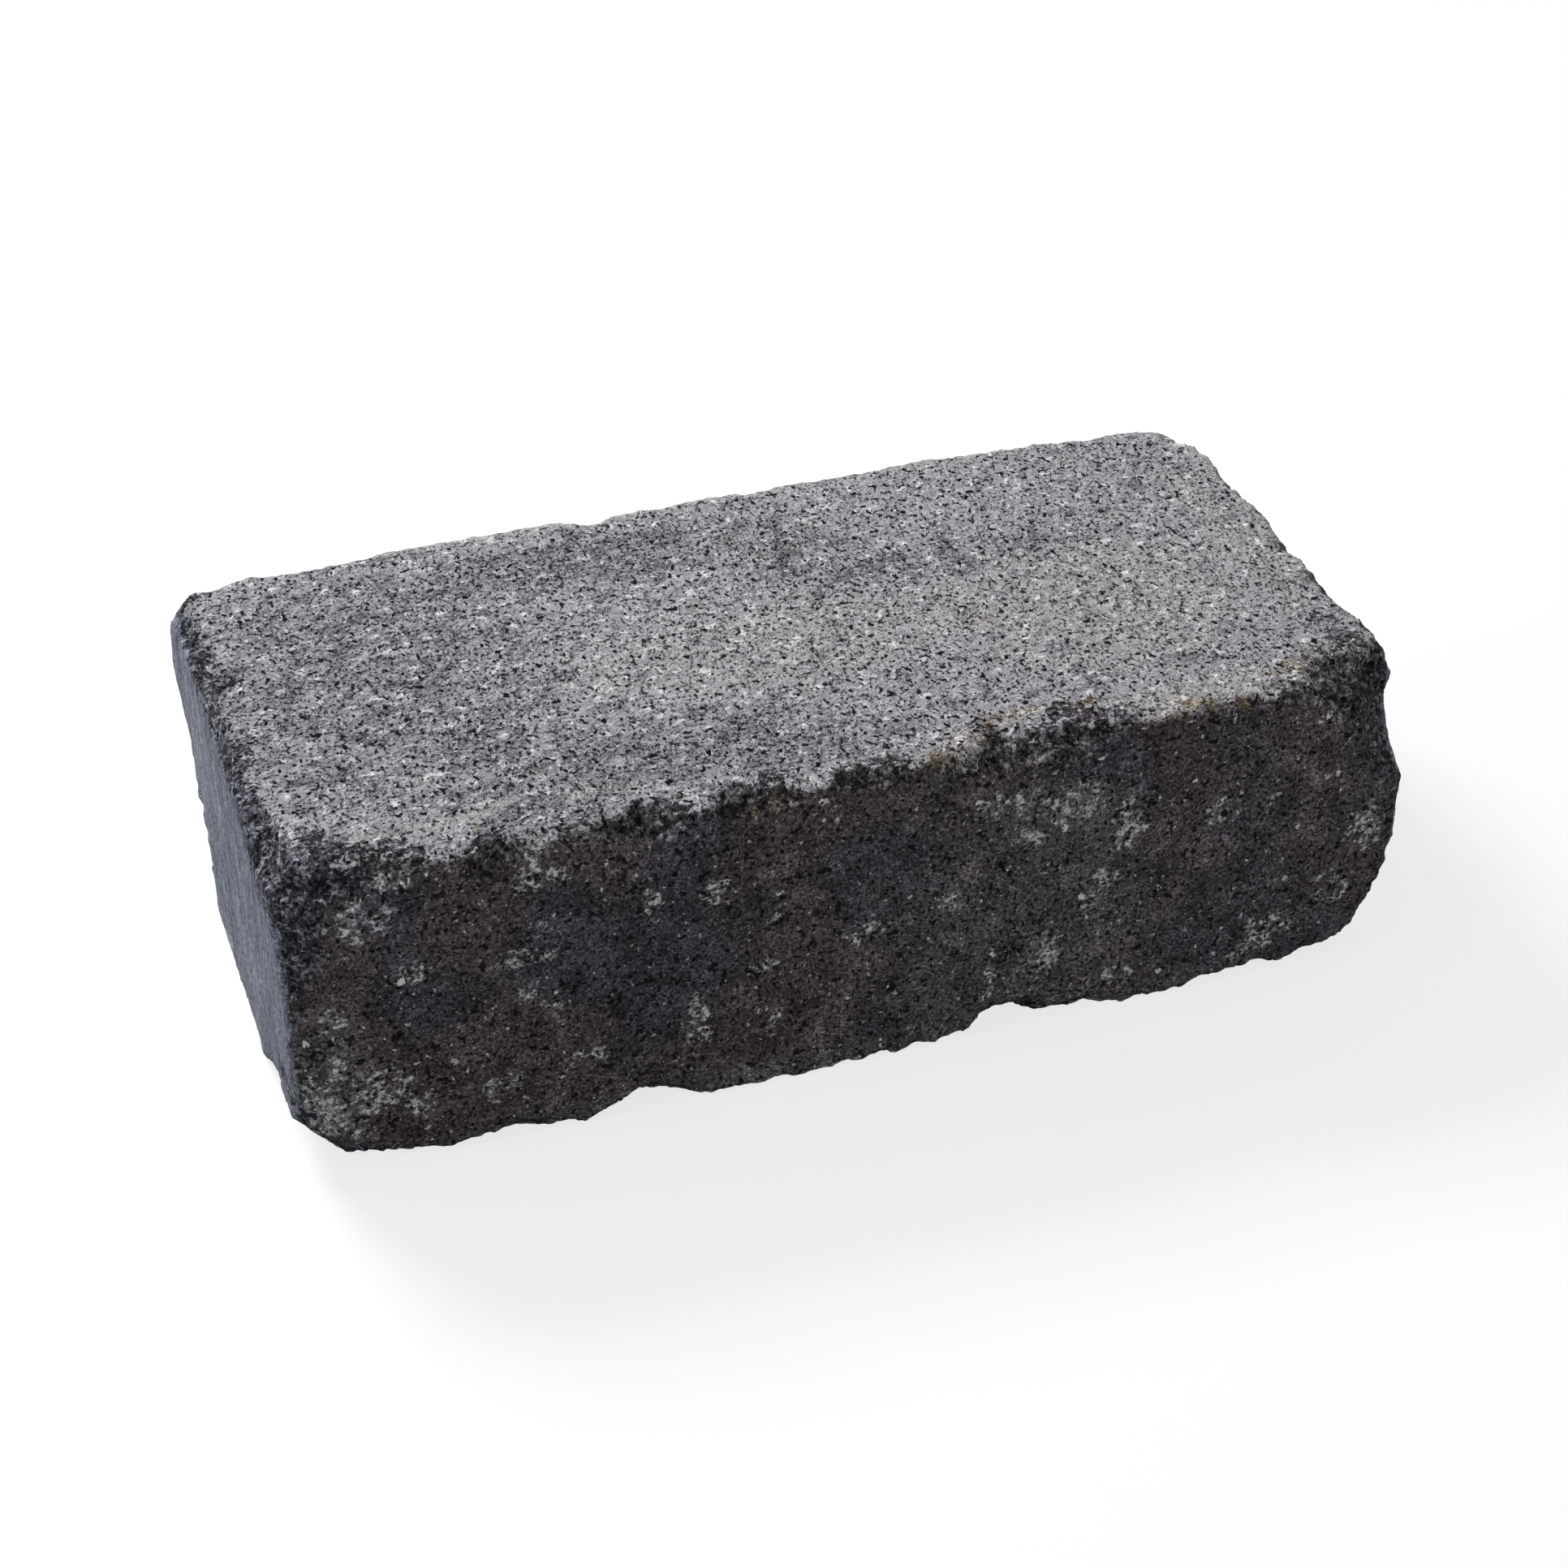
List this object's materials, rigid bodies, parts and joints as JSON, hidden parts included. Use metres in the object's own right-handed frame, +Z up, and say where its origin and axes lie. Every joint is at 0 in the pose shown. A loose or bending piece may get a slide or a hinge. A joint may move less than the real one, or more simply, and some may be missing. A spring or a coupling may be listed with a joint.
{
  "type": "concrete wall block",
  "caption": "Tumbled solid concrete wall block with flat bed faces, worn and chipped arrises and knocked-off corners, for dry-laid or mortared garden walls.",
  "frame": {"origin": "middle of the bottom bed face, on the surface the block lies on", "axes": "+X along the block's length, +Y from the dark wall face to the back, +Z up through the two bed faces"},
  "size_m": [0.3, 0.15, 0.09],
  "materials": {
    "concrete": "rough tumbled concrete, mid grey on the beds, brown-charcoal on the wall face, with pale and dark grains"
  },
  "bodies": {
    "root": {"block": "concrete"}
  },
  "joints": []
}
